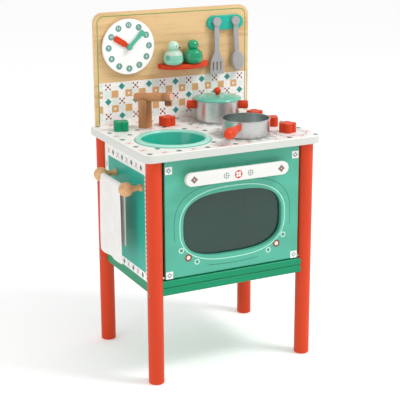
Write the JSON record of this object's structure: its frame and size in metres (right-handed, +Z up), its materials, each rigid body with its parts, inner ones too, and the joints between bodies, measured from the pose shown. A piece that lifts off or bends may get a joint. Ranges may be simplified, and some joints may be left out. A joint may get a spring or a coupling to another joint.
{
  "type": "toy kitchen",
  "caption": "Wooden play kitchen on round legs: drop-down oven door, sink with swivel tap, turning knobs, pot with lid, pan, backboard with clock, shelf, utensils, and side towel rail.",
  "frame": {"origin": "centre of the bounding box's footprint, on the floor under the four legs", "axes": "+X to the right seen from the front, +Y to the backboard, +Z up; the oven door faces -Y"},
  "size_m": [0.4614, 0.3356, 0.7865],
  "materials": {
    "leg_paint": "orange-red satin paint over turned wood",
    "white_print": "white lacquer with small printed marks",
    "board_wood": "clear lacquered pale board with a printed tile field",
    "mint_paint": "mint satin paint with printed lines",
    "teal_paint": "teal satin paint with a printed white border",
    "green_paint": "green satin paint",
    "raw_wood": "bare sanded wood",
    "brown_wood": "oiled brown wood",
    "grey_paint": "grey satin paint",
    "emerald_gloss": "emerald gloss paint",
    "pale_paint": "pale mint satin paint with printed feathers",
    "sink_enamel": "glossy moulded bowl with a lighter rim",
    "pan_steel": "spun steel, brushed around",
    "lid_enamel": "mint enamel",
    "screw_steel": "plain bright steel",
    "magnet_plastic": "moulded off-white",
    "smoke_pane": "smoked clear acrylic",
    "towel_cotton": "plain woven cotton"
  },
  "bodies": {
    "cabinet": {"leg_front_left": "leg_paint", "leg_front_right": "leg_paint", "leg_rear_left": "leg_paint", "leg_rear_right": "leg_paint", "leg_dowels": "raw_wood", "leg_bolts": "screw_steel", "worktop": "white_print", "sink_bowl": "sink_enamel", "backboard": "board_wood", "backboard_screws": "screw_steel", "floor_board": "green_paint", "front_rail": "green_paint", "hinge_rail": "green_paint", "side_rail_left": "green_paint", "side_rail_right": "green_paint", "side_panel_left": "teal_paint", "side_panel_right": "teal_paint", "back_panel": "teal_paint", "hinge_pins": "screw_steel", "magnet_catch": "magnet_plastic", "clock_spacer": "raw_wood", "clock_face": "white_print", "clock_pin": "mint_paint", "shelf": "leg_paint", "utensil_rack": "teal_paint", "rack_pegs": "raw_wood", "rail_peg_front": "raw_wood", "rail_peg_rear": "raw_wood", "towel_rail": "raw_wood", "rail_screws": "screw_steel", "towel": "towel_cotton"},
    "door": {"door_panel": "mint_paint", "window_pane": "smoke_pane", "pane_screws": "screw_steel", "door_handle": "white_print", "handle_standoffs": "raw_wood", "handle_screws": "screw_steel", "catch_plate": "screw_steel"},
    "tap": {"tap_post": "brown_wood", "tap_spout": "brown_wood", "tap_nozzle": "brown_wood"},
    "knob_hob_front": {"hob_knob_front": "leg_paint"},
    "knob_hob_middle": {"hob_knob_middle": "leg_paint"},
    "knob_hob_rear": {"hob_knob_rear": "leg_paint"},
    "knob_cold": {"cold_tap_knob": "green_paint"},
    "knob_hot": {"hot_tap_knob": "leg_paint"},
    "clock_hour": {"hour_hand": "leg_paint"},
    "clock_minute": {"minute_hand": "mint_paint"},
    "pot": {"pot_body": "pan_steel", "pot_handles": "leg_paint"},
    "lid": {"pot_lid": "lid_enamel", "lid_knob": "leg_paint"},
    "pan": {"pan_body": "pan_steel", "pan_handle": "leg_paint"},
    "bird_mint": {"mint_bird": "pale_paint"},
    "bird_green": {"green_bird": "emerald_gloss"},
    "utensil_spatula": {"spatula": "grey_paint"},
    "utensil_spoon": {"spoon": "grey_paint"}
  },
  "joints": [
    {"name": "door_hinge", "type": "hinge", "parent": "cabinet", "child": "door", "pos_m": [0.01425, -0.13975, 0.2432], "axis": [1, 0, 0], "range_deg": [0, 90]},
    {"name": "tap_swivel", "type": "hinge", "parent": "cabinet", "child": "tap", "pos_m": [-0.08975, 0.09425, 0.53], "axis": [0, 0, 1], "range_deg": [-100, 95]},
    {"name": "hob_front_turn", "type": "hinge", "parent": "cabinet", "child": "knob_hob_front", "pos_m": [0.17725, -0.09775, 0.53], "axis": [0, 0, 1], "continuous": true},
    {"name": "hob_middle_turn", "type": "hinge", "parent": "cabinet", "child": "knob_hob_middle", "pos_m": [0.17725, -0.02125, 0.53], "axis": [0, 0, 1], "continuous": true},
    {"name": "hob_rear_turn", "type": "hinge", "parent": "cabinet", "child": "knob_hob_rear", "pos_m": [0.17725, 0.05525, 0.53], "axis": [0, 0, 1], "continuous": true},
    {"name": "cold_turn", "type": "hinge", "parent": "cabinet", "child": "knob_cold", "pos_m": [-0.15175, 0.09025, 0.53], "axis": [0, 0, 1], "continuous": true},
    {"name": "hot_turn", "type": "hinge", "parent": "cabinet", "child": "knob_hot", "pos_m": [-0.03575, 0.09025, 0.53], "axis": [0, 0, 1], "continuous": true},
    {"name": "hour_turn", "type": "hinge", "parent": "cabinet", "child": "clock_hour", "pos_m": [-0.10455, 0.14525, 0.7066], "axis": [0, -1, 0], "continuous": true},
    {"name": "minute_turn", "type": "hinge", "parent": "cabinet", "child": "clock_minute", "pos_m": [-0.10455, 0.14325, 0.7066], "axis": [0, -1, 0], "continuous": true},
    {"name": "pot_lift", "type": "slide", "parent": "cabinet", "child": "pot", "axis": [0, -0.7071, 0.7071], "range_m": [0, 0.42]},
    {"name": "lid_lift", "type": "slide", "parent": "pot", "child": "lid", "axis": [0, -0.5, 0.866], "range_m": [0, 0.3]},
    {"name": "pan_lift", "type": "slide", "parent": "cabinet", "child": "pan", "axis": [0, 0, 1], "range_m": [0, 0.3]},
    {"name": "bird_mint_lift", "type": "slide", "parent": "cabinet", "child": "bird_mint", "axis": [0, 0, 1], "range_m": [0, 0.16]},
    {"name": "bird_green_lift", "type": "slide", "parent": "cabinet", "child": "bird_green", "axis": [0, 0, 1], "range_m": [0, 0.16]},
    {"name": "spatula_pull", "type": "slide", "parent": "cabinet", "child": "utensil_spatula", "axis": [0, -1, 0], "range_m": [0, 0.34]},
    {"name": "spoon_pull", "type": "slide", "parent": "cabinet", "child": "utensil_spoon", "axis": [0, -1, 0], "range_m": [0, 0.34]}
  ]
}
